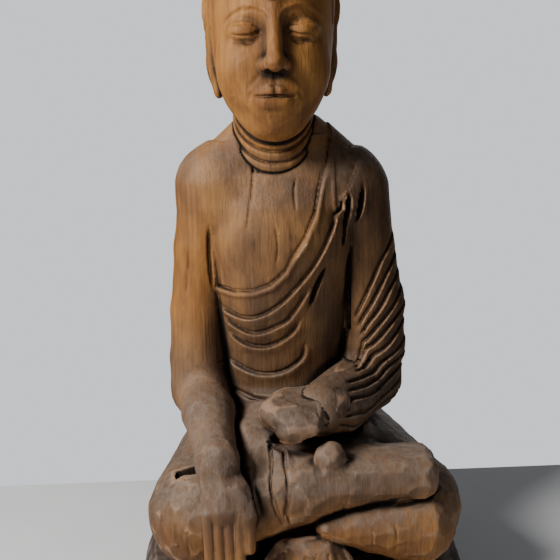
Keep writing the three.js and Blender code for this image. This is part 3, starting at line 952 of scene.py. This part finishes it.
def carved_wood(name, warm, dull, grime_and_shade, dusting, shift, gloss=0.54):
    """Old carved hardwood: upright grain, a worn sheen on the edges, grime and painted shade in the cuts and
    hollows, and dust on top.

    `warm` and `dull` are each a pale and a deep tone; the block's own "warm" attribute leads from one to
    the other.
    """
    s = Shader(name)
    fibre = s.noise(s.coords((1.3, 1.3, 0.09), shift), 1.0, 5.0, 0.62)
    streak = s.noise(s.coords((0.22, 0.22, 0.02), shift), 1.0, 4.0, 0.6)
    cloud = s.noise(s.coords((0.05, 0.05, 0.025), shift), 1.0, 3.0, 0.5)
    mottle = s.noise(s.coords((0.3, 0.3, 0.2), shift), 1.0, 4.0, 0.6)
    checks = s.noise(s.coords((0.8, 0.8, 0.018), shift), 1.0, 2.0, 0.4)
    rings = s.node("ShaderNodeTexWave", wave_type="BANDS", bands_direction="X", wave_profile="SIN")
    s.link(s.coords((0.11, 0.11, 0.004), shift), rings.inputs["Vector"])
    for key, value in (("Scale", 1.0), ("Distortion", 6.0), ("Detail", 3.0), ("Detail Scale", 0.5)):
        rings.inputs[key].default_value = value
    tone = s.math("ADD", s.math("MULTIPLY", streak, 0.42), s.math("MULTIPLY", cloud, 0.63))
    tone = s.math("ADD", tone, s.math("MULTIPLY", rings.outputs["Fac"], 0.04))
    tone = s.ramp(tone, 0.40, 0.74)
    golden = s.math("ADD", s.attribute("warm"), s.ramp(cloud, 0.3, 0.7, -0.25, 0.25), clamp=True)
    color = s.mix(golden, s.mix(tone, dull[1], dull[0]), s.mix(tone, warm[1], warm[0]))
    # The stain attribute darkens the aged robe, and on the right knee it is painted shade.
    color = s.mix(s.math("MULTIPLY", s.attribute("stain_and_shade"), s.ramp(mottle, 0.25, 0.7, 0.54, 0.36)), color, grime_and_shade)
    color = s.mix(s.ramp(fibre, 0.50, 0.80, 0.0, 0.2), color, grime_and_shade)
    color = s.mix(s.ramp(checks, 0.69, 0.76, 0.0, 0.45), color, grime_and_shade)
    worn = s.math("MULTIPLY", s.ramp(s.attribute("edge"), 0.12, 0.42), s.ramp(mottle, 0.3, 0.62, 0.25, 0.7))
    worn = s.math("MULTIPLY", worn, s.math("ADD", 1.0, s.attribute("stain_and_shade")), clamp=True)
    pale = tuple(0.5 * (w + d) + 0.06 for w, d in zip(warm[0], dull[0]))
    color = s.mix(worn, color, pale)
    if dusting:
        dust = s.math("MULTIPLY", s.attribute("dust"), s.ramp(mottle, 0.34, 0.62, 0.35, 1.0))
        color = s.mix(s.math("MULTIPLY", dust, dusting), color, (0.20, 0.154, 0.124))
    # Painted shade: hollows and cuts are darkened almost to black, as ambient occlusion would shade them, with
    # some grime there too.
    color = s.mix(s.ramp(s.attribute("hollow"), 0.06, 0.46, 0.0, 0.97), color, grime_and_shade)
    s.link(color, s.bsdf.inputs["Base Color"])
    sheen = s.ramp(fibre, 0.3, 0.7, gloss, gloss + 0.16)
    dull_hollow = s.ramp(s.attribute("hollow"), 0.0, 0.5, 0.0, 0.3)
    s.link(s.math("ADD", sheen, dull_hollow, clamp=True), s.bsdf.inputs["Roughness"])
    s.bsdf.inputs["Specular IOR Level"].default_value = 0.3
    relief_under = s.bump(fibre, 0.25, 0.6)
    relief_under = s.bump(checks, 0.6, 0.4, relief_under)
    s.link(s.bump(mottle, 0.6, 0.4, relief_under), s.bsdf.inputs["Normal"])
    return s.material


# ---------- the blocks ----------
INF = float("inf")
SEAM = 0.04  # glued faces all but touch


def warmth(points):
    """1 where the wood is golden and well handled, 0 where it is brown and dull; on the fan of robe below the
    hands the gold is painted light.
    """
    x, y, z = points.T
    arm = ease((SEAM_RIGHT + 10 - x) / 22) * ease((z - 138) / 44) * (0.25 + 0.75 * ease((232 - z) / 30))
    head = ease((z - 250) / 12)
    # Golden shin fronts; on the fan of robe, which the hand shades, this gold is painted light.
    knee_gold_and_fan_light = ease((80 - z) / 24) * ease((-28 - y) / 20)
    return np.clip(arm + head + 0.8 * knee_gold_and_fan_light + 0.25 * ease((z - 120) / 60), 0.0, 1.0)


def stain_and_shade(points):
    """1 where the robe has darkened with age, up to 0.8 on the lower right knee as painted shade, 0 on the bare
    wood.
    """
    x, y, z = points.T
    robe = ease((rim_height(x, y) - z) / 3) * ease((x - SEAM_RIGHT + 2) / 5) * ease((z - 100) / 22)
    # Painted shade: the lower right knee is darkened in colour to stand in for the light falling off towards it.
    knee_shade = 0.8 * ease((-50 - x) / 12) * ease((92 - z) / 14)
    return np.maximum(robe * (0.58 + 0.38 * ease((x - 2) / 24)), knee_shade)


def dusty(points, normals):
    """Dust lies on what faces up, on the lap and the shoulders."""
    x, y, z = points.T
    handled = 0.4 * ease((-16 - y) / 16) * ease((z - 72) / 12)
    shoulders = 0.6 * ease((z - 216) / 22) * ease((276 - z) / 8)
    return ease((normals[:, 2] + 0.15 + handled) / 0.9) * (ease((146 - z) / 30) + shoulders)


def finish_block(name, node, clay, low, high, clays, gouging, depth, material, drills=()):
    """Meshes one block, gives it its tool marks, its wear and its painted shade, and hangs it in the frame."""
    points, quads = mesh_block(clay, low, high, drills)
    normals = clay.slope(points)
    skin = np.abs(clay.sample(points)) < 0.6 * clay.cell
    push = np.clip(gouging.height(points[skin], normals[skin]), -0.4, 0.8) * depth(points[skin])
    move = normals[skin] * push[:, None]
    for i in range(3):
        for value in (low[i], high[i]):
            if np.isfinite(value):
                move[np.abs(points[skin][:, i] - value) < 0.05, i] = 0.0
    points[skin] += move
    outward = np.where(skin[:, None], normals, face_normals(points, quads))
    wear_and_shade = {
        # hollow: painted shade for hollows and cuts, from how closely the wood surrounds each point
        "hollow": shelter(points, outward, clays, (0.9, 1.8, 3.5, 6.0)),
        "edge": exposure(points, outward, clays, (1.2, 2.4)),
        "dust": dusty(points, outward),
        "warm": warmth(points),
        "stain_and_shade": stain_and_shade(points),
    }
    piece = make_object(name, points, quads, material, wear_and_shade)
    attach(piece, "root")
    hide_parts(node)
    return piece


def bore(node):
    """The hole that a peg or dowel sits in, a little wider than it."""
    low, high = corners(node)
    middle, half = (low + high) / 2, (high - low) / 2
    axis = int(half.argmax())
    others = [i for i in range(3) if i != axis]
    radius = half[others].max() + 0.15

    def distance(x, y, z):
        p = (x - middle[0], y - middle[1], z - middle[2])
        across = np.sqrt(p[others[0]] ** 2 + p[others[1]] ** 2) - radius
        return np.maximum(across, np.abs(p[axis]) - half[axis] - 0.4)

    return distance, low - 1, high + 1


def depth_body(points):
    """Bold gouge marks in the lap, faint ones on the chest and arms."""
    return 0.16 + 0.62 * ease((128 - points[:, 2]) / 40)


def depth_hand(points):
    """None on the slim fingers."""
    return 0.55 * ease((points[:, 2] - 66) / 14)


def depth_fine(points):
    return np.full(len(points), 0.22)


def depth_palm(points):
    return np.full(len(points), 0.8)


right_arm = build_right_arm()
left_arm = build_left_arm()
left_hand = build_left_hand()
figure = build_figure(right_arm, left_arm)
head = build_head()

# The whole statue in one block: tool marks run across its seams, and hollows are judged on it.
whole = Clay(*[axis * BODY_CELL for axis in (figure.first, figure.first + figure.d.shape - 1)], BODY_CELL)
whole.d = figure.d.copy()
for part in (right_arm, left_arm, left_hand):
    whole.merge(part, keep=below_elbow)
whole.add(neck_form())

left_arm.merge(left_hand, gap=SEAM)
for part in (right_arm, left_arm, left_hand):
    figure.merge(part, gap=SEAM, keep=below_elbow)
figure.cut(neck_form(), SEAM)
AIR = (whole, head)
# Near-black for grime and for painted shade: it darkens stains, grain and checks, and paints the shade in
# hollows and on the right knee.
GRIME_AND_SHADE = (0.012, 0.007, 0.0045)
DULL_BROWN = ((0.225, 0.122, 0.058), (0.115, 0.057, 0.026))
body_wood = carved_wood(
    "body_wood", ((0.36, 0.165, 0.042), (0.215, 0.085, 0.021)), DULL_BROWN, GRIME_AND_SHADE, dusting=0.7, shift=(3, 7, 1)
)
head_wood = carved_wood(
    "head_wood", ((0.37, 0.168, 0.042), (0.225, 0.088, 0.021)), DULL_BROWN, GRIME_AND_SHADE, dusting=0.0, shift=(31, 12, 9)
)
# The plinth's tones are far darker than the figure's wood: a darker stain, deepened with painted shade for the
# shadow on the base.
plinth_wood = carved_wood(
    "plinth_wood", ((0.10, 0.055, 0.03), (0.045, 0.024, 0.014)), ((0.075, 0.045, 0.03), (0.035, 0.02, 0.013)),
    (0.008, 0.005, 0.004), dusting=0.35, shift=(5, 41, 3),
)
BLOCKS = {
    "lap_block": (figure, (-INF, -INF, SEAT), (INF, SEAM_LAP - SEAM, INF), depth_body),
    "right_hip_block": (figure, (-INF, SEAM_LAP, SEAT), (SEAM_RIGHT - SEAM, INF, ELBOW_SEAM - 12), depth_body),
    "left_hip_block": (figure, (SEAM_LEFT + SEAM, SEAM_LAP, SEAT), (INF, INF, ELBOW_SEAM - 12), depth_body),
    "torso_front": (figure, (SEAM_RIGHT, SEAM_LAP, SEAT), (SEAM_LEFT, SEAM_BACK, INF), depth_body),
    "torso_back": (figure, (SEAM_RIGHT, SEAM_BACK + SEAM, SEAT), (SEAM_LEFT, INF, INF), depth_body),
    "right_upper_arm": (whole, (-INF, -INF, ELBOW_SEAM), (SEAM_RIGHT - SEAM, INF, INF), depth_body),
    "left_upper_arm": (whole, (SEAM_LEFT + SEAM, -INF, ELBOW_SEAM), (INF, INF, INF), depth_body),
    "right_forearm": (right_arm, (-INF, WRIST_SEAM, -INF), (INF, INF, ELBOW_SEAM - SEAM), depth_body),
    "right_hand": (right_arm, (-INF, -INF, -INF), (INF, WRIST_SEAM - SEAM, ELBOW_SEAM - SEAM), depth_hand),
    "left_forearm": (left_arm, (-INF, -INF, -INF), (INF, INF, ELBOW_SEAM - SEAM), depth_body),
    "left_hand": (left_hand, (-INF, -INF, -INF), (INF, INF, INF), depth_palm),
}
CARVED = (*BLOCKS, "head", "plinth")
HIDDEN = {node: thing for node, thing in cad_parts.items() if node not in CARVED}
BORES = [bore(node) for node in HIDDEN if "dowel" in node or "peg" in node]
board_low, board_high = corners("bottom_board")
ROOM = [
    slab((-25.5, 9.5, SEAT - 5), (9.5, 34.5, 186.5), 1.5),
    slab(board_low - (0.3, 0.3, 5), board_high + (0.3, 0.3, 0.3)),
]

body_gouging = Gouging(whole, 8.5, 3)
for node, (clay, low, high, depth) in BLOCKS.items():
    drills = BORES + ROOM if node.startswith("torso") else BORES
    finish_block(
        node + "_wood", node, clay, low, high, AIR, body_gouging, depth, body_wood, drills
    )
finish_block(
    "head_carving", "head", head, (-INF, -INF, TENON_BOTTOM), (INF, INF, INF), AIR,
    Gouging(head, 9.0, 11), depth_fine, head_wood, BORES,
)

plinth = Clay(PLINTH_LOW - 4, PLINTH_HIGH + 4, 2 * BODY_CELL)
plinth_rise = PLINTH_HIGH[2]
half_wide, half_deep = (PLINTH_HIGH - PLINTH_LOW)[:2] / 2
plinth_profile = [
    (half_wide * share, z)
    for share, z in ((0.97, 0), (0.985, 3), (0.975, 9), (0.93, plinth_rise - 3), (0.9, plinth_rise))
]
plinth.add(pillar(plinth_profile, 0, 0, half_deep / half_wide, 2.8))


def depth_plinth(points):
    """Bold marks on the sides, none on the edges that rest on the floor and carry the figure."""
    return 0.7 * ease(points[:, 2] / 3) * ease((plinth_rise - points[:, 2]) / 2)


finish_block(
    "plinth_carving", "plinth", plinth, (-INF, -INF, 0), (INF, INF, plinth_rise),
    (whole, plinth), Gouging(plinth, 11.0, 21), depth_plinth, plinth_wood, BORES,
)


# ---------- hair ----------
def trace(clay, source, directions, start=70.0):
    """Where rays coming in towards `source` first meet the surface."""
    reach = np.full(len(directions), start)
    for _ in range(40):
        reach = reach - np.clip(clay.sample(source + directions * reach[:, None]), -1, 6) * 0.8
    return source + directions * reach[:, None]


def curl_rings(source, lowest, highest, size, pitch):
    """Directions to points on staggered rings around a centre."""
    found = []
    for row, rise in enumerate(np.arange(lowest, highest, pitch / size)):
        count = max(1, int(round(2 * math.pi * size * math.cos(rise) / (pitch * 1.03))))
        turn = (np.arange(count) + 0.5 * (row % 2)) * 2 * math.pi / count
        flat = np.full(count, math.cos(rise))
        up = np.full(count, math.sin(rise))
        found.append(np.stack([flat * np.sin(turn), -flat * np.cos(turn), up], axis=1))
    return np.vstack(found)


def curl_places(clay):
    """Points for the curls over the crown knot and the skull, none nearer than a curl's width."""
    knot = face_point(0, 19, CROWN_TOP - 22)
    skull = face_point(0, 14, 328)
    on_knot = trace(clay, knot, curl_rings(knot, 0.35, 1.6, 19, 4.9))
    on_skull = trace(clay, skull, curl_rings(skull, -0.8, 1.35, 44, 4.9))
    chosen = []
    for place in np.vstack([on_knot[::-1], on_skull]):
        side, y, z = place[0] - NECK[0], place[1], place[2]
        if z < hairline(side, y) + 1.5 or (abs(side) > 29.5 and y < 33 and z < 341):
            continue
        if chosen and np.linalg.norm(np.array(chosen) - place, axis=1).min() < 4.2:
            continue
        chosen.append(place)
    return np.array(chosen)


def curl_mesh():
    """One snail curl: a short tapering tube wound inwards and up, closed at both ends."""
    steps, sides = 13, 4
    points, hollow, faces = [], [], []
    for i in range(steps):
        t = i / (steps - 1)
        turn, out, rise, thick = 2 * math.pi * 1.6 * t, 1.75 * (1 - t) ** 0.75, 0.35 + 1.75 * t, 1.15 - 0.35 * t
        along = np.array([math.cos(turn), math.sin(turn), 0.0])
        for k in range(sides):
            a = 2 * math.pi * (k + 0.5) / sides
            points.append(along * (out + thick * math.cos(a)) + (0, 0, rise + thick * math.sin(a)))
            # Painted shade: the underside of each curl gets a high hollow value and is painted dark; the top
            # stays light.
            hollow.append(0.75 if math.sin(a) < 0 else 0.12)
    for i in range(steps - 1):
        for k in range(sides):
            a, b = i * sides + k, i * sides + (k + 1) % sides
            faces.append((a, b, b + sides, a + sides))
    faces.append(tuple(range(sides)))
    faces.append(tuple(reversed(range((steps - 1) * sides, steps * sides))))
    mesh = bpy.data.meshes.new("curl")
    mesh.from_pydata([tuple(p * MM) for p in points], [], faces)
    mesh.polygons.foreach_set("use_smooth", [True] * len(faces))
    edge = [0.3 if h < 0.5 else 0.0 for h in hollow]
    for label, values in (("hollow", hollow), ("warm", [0.8] * len(points)), ("edge", edge)):
        mesh.attributes.new(label, "FLOAT", "POINT").data.foreach_set("value", values)
    bm = bmesh.new()
    bm.from_mesh(mesh)
    bmesh.ops.recalc_face_normals(bm, faces=bm.faces)
    bm.to_mesh(mesh)
    bm.free()
    return mesh


def curl_tree():
    """Geometry nodes: one curl on every point, its axis along the point's outward direction."""
    tree = bpy.data.node_groups.new("snail_curls", "GeometryNodeTree")
    face = tree.interface
    face.new_socket("Geometry", in_out="INPUT", socket_type="NodeSocketGeometry")
    face.new_socket("Curl", in_out="INPUT", socket_type="NodeSocketObject")
    face.new_socket("Smallest", in_out="INPUT", socket_type="NodeSocketFloat").default_value = 0.94
    face.new_socket("Largest", in_out="INPUT", socket_type="NodeSocketFloat").default_value = 1.08
    face.new_socket("Seed", in_out="INPUT", socket_type="NodeSocketInt").default_value = 5
    face.new_socket("Material", in_out="INPUT", socket_type="NodeSocketMaterial")
    face.new_socket("Geometry", in_out="OUTPUT", socket_type="NodeSocketGeometry")
    new, link = tree.nodes.new, tree.links.new
    given, result = new("NodeGroupInput"), new("NodeGroupOutput")
    outward = new("GeometryNodeInputNamedAttribute")
    outward.data_type = "FLOAT_VECTOR"
    outward.inputs["Name"].default_value = "outward"
    stand = new("FunctionNodeAlignRotationToVector")
    stand.axis = "Z"
    link(outward.outputs["Attribute"], stand.inputs["Vector"])
    spin = new("FunctionNodeRotateRotation")
    spin.rotation_space = "LOCAL"
    angle = new("FunctionNodeRandomValue")
    angle.data_type = "FLOAT_VECTOR"
    angle.inputs[0].default_value = (0, 0, -0.35)
    angle.inputs[1].default_value = (0, 0, 0.35)
    size = new("FunctionNodeRandomValue")
    size.data_type = "FLOAT"
    for source, target in (
        (given.outputs["Seed"], angle.inputs["Seed"]),
        (given.outputs["Seed"], size.inputs["Seed"]),
        (given.outputs["Smallest"], size.inputs[2]),
        (given.outputs["Largest"], size.inputs[3]),
        (stand.outputs["Rotation"], spin.inputs["Rotation"]),
        (angle.outputs[0], spin.inputs["Rotate By"]),
    ):
        link(source, target)
    info = new("GeometryNodeObjectInfo")
    link(given.outputs["Curl"], info.inputs["Object"])
    place = new("GeometryNodeInstanceOnPoints")
    link(given.outputs["Geometry"], place.inputs["Points"])
    link(info.outputs["Geometry"], place.inputs["Instance"])
    link(spin.outputs["Rotation"], place.inputs["Rotation"])
    link(size.outputs[1], place.inputs["Scale"])
    real = new("GeometryNodeRealizeInstances")
    paint = new("GeometryNodeSetMaterial")
    link(place.outputs["Instances"], real.inputs["Geometry"])
    link(real.outputs["Geometry"], paint.inputs["Geometry"])
    link(given.outputs["Material"], paint.inputs["Material"])
    link(paint.outputs["Geometry"], result.inputs["Geometry"])
    return tree


def build_hair(clay, material):
    places = curl_places(clay)
    outward = clay.slope(places)
    points = bpy.data.meshes.new("curl_points")
    points.from_pydata([tuple(p) for p in (places - 0.35 * outward) * MM], [], [])
    layer = points.attributes.new("outward", "FLOAT_VECTOR", "POINT")
    layer.data.foreach_set("vector", outward.astype(np.float32).ravel())
    sower = bpy.data.objects.new("curl_points", points)
    curl = bpy.data.objects.new("curl", curl_mesh())
    bpy.context.collection.objects.link(sower)
    bpy.context.collection.objects.link(curl)
    tree = curl_tree()
    modifier = sower.modifiers.new("curls", "NODES")
    modifier.node_group = tree
    named = {item.name: item.identifier for item in tree.interface.items_tree if item.in_out == "INPUT"}
    given = {"Curl": curl, "Smallest": 0.94, "Largest": 1.08, "Seed": 5, "Material": material}
    for label, value in given.items():
        modifier[named[label]] = value
    bpy.context.view_layer.update()
    made = bpy.data.meshes.new_from_object(sower.evaluated_get(bpy.context.evaluated_depsgraph_get()))
    made.name = "hair_curls"
    hair = bpy.data.objects.new("hair_curls", made)
    bpy.context.collection.objects.link(hair)
    sower.modifiers.remove(modifier)
    for thing in (sower, curl):
        bpy.data.objects.remove(thing)
    if not made.materials:
        made.materials.append(material)
    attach(hair, "root")
    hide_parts("head")


build_hair(head, head_wood)


# ---------- the pieces inside ----------
def split_wood():
    """Riven dowel wood: pale, straight-grained, a little oily from handling."""
    s = Shader("peg_wood")
    grain = s.noise(s.coords((0.9, 0.9, 0.12), (3, 3, 3)), 1.0, 4.0, 0.6)
    cloud = s.noise(s.coords((0.08, 0.08, 0.08), (9, 2, 4)), 1.0, 3.0, 0.5)
    color = s.mix(s.ramp(cloud, 0.3, 0.7), (0.34, 0.20, 0.10), (0.22, 0.12, 0.055))
    color = s.mix(s.ramp(grain, 0.42, 0.66, 0.0, 0.6), color, (0.08, 0.04, 0.018))
    s.link(color, s.bsdf.inputs["Base Color"])
    s.link(s.ramp(grain, 0.3, 0.7, 0.5, 0.72), s.bsdf.inputs["Roughness"])
    s.link(s.bump(grain, 0.2, 0.5), s.bsdf.inputs["Normal"])
    return s.material


def old_iron():
    """Hand-forged staples: black scale with rust breaking through."""
    s = Shader("iron")
    blotch = s.noise(s.coords((0.5, 0.5, 0.5), (1, 7, 2)), 1.0, 5.0, 0.62)
    pits = s.noise(s.coords((2.2, 2.2, 2.2), (4, 4, 9)), 1.0, 3.0, 0.6)
    rust = s.ramp(blotch, 0.44, 0.62)
    s.link(s.mix(rust, (0.035, 0.033, 0.032), (0.16, 0.062, 0.024)), s.bsdf.inputs["Base Color"])
    s.link(s.ramp(rust, 0.0, 1.0, 0.85, 0.1), s.bsdf.inputs["Metallic"])
    s.link(s.ramp(blotch, 0.3, 0.7, 0.42, 0.85), s.bsdf.inputs["Roughness"])
    s.link(s.bump(pits, 0.25, 0.6), s.bsdf.inputs["Normal"])
    return s.material


peg_wood, iron = split_wood(), old_iron()
for node, thing in HIDDEN.items():
    for holder in thing.material_slots:
        holder.material = iron if "staple" in node else peg_wood


# ---------- setting ----------
def paper():
    """Pale matt paper with a faint fibre."""
    s = Shader("floor_paper")
    fibre = s.noise(s.coords((0.02, 0.02, 0.02)), 1.0, 4.0, 0.6)
    s.link(s.mix(fibre, (0.70, 0.71, 0.73), (0.80, 0.81, 0.83)), s.bsdf.inputs["Base Color"])
    s.bsdf.inputs["Roughness"].default_value = 0.75
    s.bsdf.inputs["Specular IOR Level"].default_value = 0.2
    return s.material


def build_floor():
    """A pale table top that ends a little behind the statue."""
    half, front, back = 0.75, -0.9, 0.112
    mesh = bpy.data.meshes.new("floor")
    ends = [(-half, front, 0), (half, front, 0), (half, back, 0), (-half, back, 0)]
    mesh.from_pydata(ends, [], [(0, 1, 2, 3)])
    mesh.materials.append(paper())
    floor = bpy.data.objects.new("floor", mesh)
    bpy.context.collection.objects.link(floor)


def build_camera():
    data = bpy.data.cameras.new("camera")
    data.sensor_width = 36
    data.lens = 18 / math.tan(math.radians(38 / 2))
    camera = bpy.data.objects.new("camera", data)
    bpy.context.collection.objects.link(camera)
    turn, pitch, roll, distance = math.radians(-2.1), math.radians(13.9), math.radians(-1.2), 474
    target = (TRUNK_X - 0.9, TRUNK_Y)
    camera.location = Vector(
        (target[0] + distance * math.sin(turn), target[1] - distance * math.cos(turn), 293)
    ) * MM
    look = Vector((-math.sin(turn) * math.cos(pitch), math.cos(turn) * math.cos(pitch), -math.sin(pitch)))
    turned = look.to_track_quat("-Z", "Y")
    camera.rotation_euler = (turned.to_matrix() @ Matrix.Rotation(roll, 3, "Z")).to_euler()
    bpy.context.scene.camera = camera


def area_light(name, place, target, size, power, color=(1, 1, 1)):
    data = bpy.data.lights.new(name, "AREA")
    data.size = size
    data.energy = power
    data.color = color
    lamp = bpy.data.objects.new(name, data)
    lamp.location = place
    lamp.rotation_euler = (Vector(target) - Vector(place)).to_track_quat("-Z", "Y").to_euler()
    bpy.context.collection.objects.link(lamp)


def build_world():
    """A pale room that shines softly; the camera sees it brighter than it shines."""
    world = bpy.data.worlds.new("room")
    world.use_nodes = True
    tree = world.node_tree
    shine, seen = tree.nodes["Background"], tree.nodes.new("ShaderNodeBackground")
    shine.inputs["Color"].default_value = (0.75, 0.77, 0.8, 1)
    shine.inputs["Strength"].default_value = 0.09
    seen.inputs["Color"].default_value = (0.90, 0.93, 0.97, 1)
    path, blend = tree.nodes.new("ShaderNodeLightPath"), tree.nodes.new("ShaderNodeMixShader")
    tree.links.new(path.outputs["Is Camera Ray"], blend.inputs["Fac"])
    tree.links.new(shine.outputs["Background"], blend.inputs[1])
    tree.links.new(seen.outputs["Background"], blend.inputs[2])
    tree.links.new(blend.outputs["Shader"], tree.nodes["World Output"].inputs["Surface"])
    bpy.context.scene.world = world


build_floor()
build_camera()
area_light("key", (-0.58, -0.34, 0.66), (0, 0, 0.2), 0.24, 10.6, (1, 0.97, 0.93))
area_light("fill", (0.7, -1.2, 0.5), (0, 0, 0.15), 1.2, 0.8, (0.92, 0.95, 1))
area_light("back", (0.5, 1.3, 0.42), (0, 0, 0.2), 1.0, 4, (0.95, 0.97, 1))
build_world()
